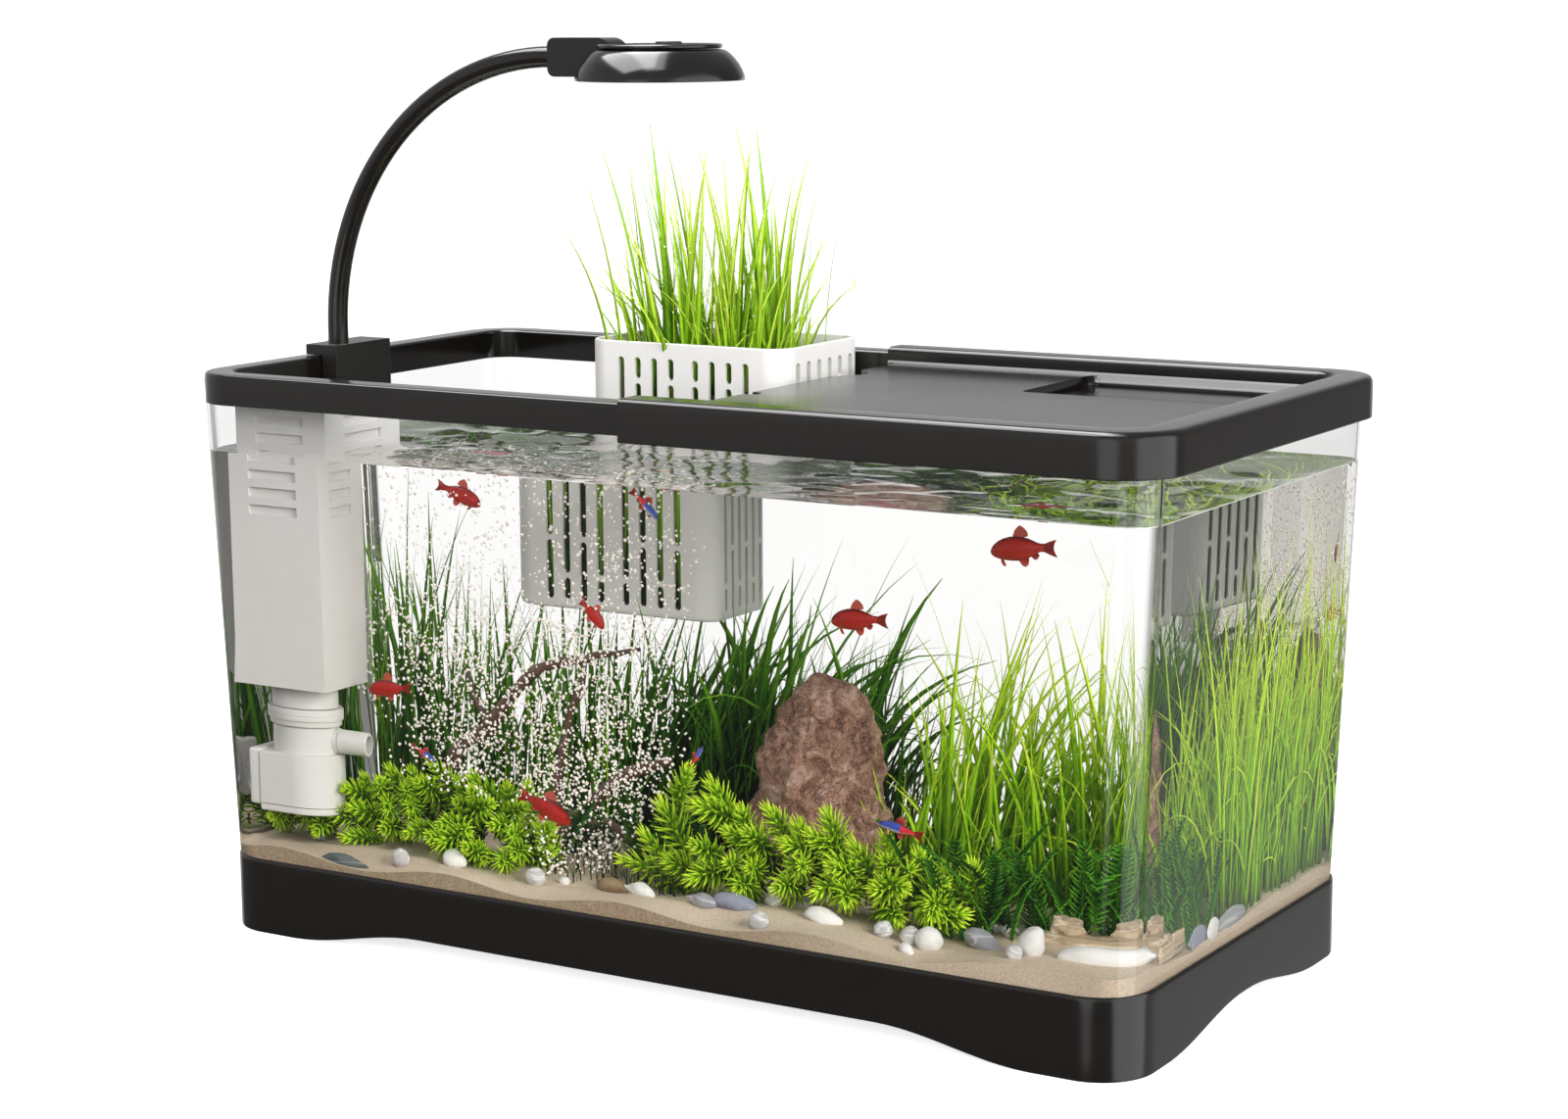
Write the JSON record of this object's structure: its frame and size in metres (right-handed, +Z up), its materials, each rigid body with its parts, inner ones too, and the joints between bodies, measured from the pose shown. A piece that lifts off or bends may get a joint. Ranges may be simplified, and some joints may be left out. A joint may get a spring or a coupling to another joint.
{
  "type": "aquarium",
  "caption": "Desktop aquarium: tapered clear tank on a low footed plinth, half lid, hanging plant basket, arched clip-on lamp and internal pump filter.",
  "frame": {"origin": "centre of the footprint, on the surface the feet stand on", "axes": "+X along the long side towards the lidded end, +Y to the back (basket side), +Z up"},
  "size_m": [0.403, 0.204, 0.3387],
  "materials": {
    "black_gloss": "gloss",
    "black_satin": "satin",
    "rubber": "matt",
    "clear": "clear",
    "white_plastic": "satin",
    "clay": "matt",
    "plant": "soft",
    "steel": "satin",
    "board": "satin",
    "diffuser": "frosted",
    "sponge": "open foam",
    "magnet": "satin",
    "sand": "grainy",
    "stone": "rough",
    "wood": "rough",
    "pebble": "smooth",
    "slate": "smooth"
  },
  "bodies": {
    "tank_unit": {"base_tray": "black_gloss", "foot_pad_front_left": "rubber", "foot_pad_front_right": "rubber", "foot_pad_back_left": "rubber", "foot_pad_back_right": "rubber", "tank": "clear", "rim_frame": "black_gloss", "sand_bed": "sand", "feature_rock": "stone", "driftwood": "wood", "pebble_white": "pebble", "pebble_grey": "slate", "pebble_upright": "pebble", "pebble_blue": "slate", "pebble_pale": "pebble", "pebble_slate": "slate", "hornwort_left": "plant", "hornwort_middle": "plant", "fern_right": "plant", "grass_back": "plant", "grass_right": "plant", "grass_tall": "plant", "holder_plate": "white_plastic", "suction_cup_front": "rubber", "suction_cup_back": "rubber"},
    "lid": {"lid_cover": "black_gloss"},
    "basket_unit": {"plant_basket": "white_plastic", "planting_medium": "clay", "wheatgrass": "plant"},
    "lamp_mount": {"lamp_bracket": "black_satin", "lamp_cord_gland": "rubber", "swivel_bush": "white_plastic"},
    "lamp_arm": {"arm_tube": "black_gloss", "lamp_joint_block": "black_gloss", "tilt_pin": "steel"},
    "lamp_head": {"lamp_shade": "black_gloss", "lamp_cap": "black_gloss", "led_board": "board", "lamp_diffuser": "diffuser"},
    "lamp_switch": {"lamp_button": "black_satin"},
    "filter_unit": {"filter_box": "white_plastic", "filter_sponge": "sponge", "filter_neck": "white_plastic", "collar_ring": "white_plastic", "pump_housing": "white_plastic", "pump_foot": "white_plastic", "outlet_nozzle": "white_plastic", "impeller_shaft": "steel", "pump_gland": "rubber"},
    "filter_top": {"filter_cover": "white_plastic"},
    "rotor": {"impeller": "magnet"}
  },
  "joints": [
    {"name": "lid_lift", "type": "slide", "parent": "tank_unit", "child": "lid", "axis": [0, 0, 1], "range_m": [0, 0.08]},
    {"name": "basket_lift", "type": "slide", "parent": "tank_unit", "child": "basket_unit", "axis": [0, 0, 1], "range_m": [0, 0.1]},
    {"name": "lamp_mount_lift", "type": "slide", "parent": "tank_unit", "child": "lamp_mount", "axis": [0, 0, 1], "range_m": [0, 0.03]},
    {"name": "arm_swivel", "type": "hinge", "parent": "lamp_mount", "child": "lamp_arm", "pos_m": [-0.1853, -0.024, 0.2194], "axis": [0, 0, 1], "range_deg": [-30, 60]},
    {"name": "head_tilt", "type": "hinge", "parent": "lamp_arm", "child": "lamp_head", "pos_m": [-0.0545, -0.024, 0.3315], "axis": [0, 1, 0], "range_deg": [-18, 18]},
    {"name": "lamp_switch_press", "type": "slide", "parent": "lamp_head", "child": "lamp_switch", "axis": [0, 0, -1], "range_m": [0, 0.0015], "stiffness_N_per_m": 300, "springref_m": -0.0003},
    {"name": "filter_lift", "type": "slide", "parent": "tank_unit", "child": "filter_unit", "axis": [0, 0, 1], "range_m": [0, 0.09]},
    {"name": "filter_top_lift", "type": "slide", "parent": "filter_unit", "child": "filter_top", "axis": [0, 0, 1], "range_m": [0, 0.015]},
    {"name": "impeller_spin", "type": "hinge", "parent": "filter_unit", "child": "rotor", "pos_m": [-0.1654, -0.0595, 0.06], "axis": [0, 0, 1], "continuous": true}
  ]
}
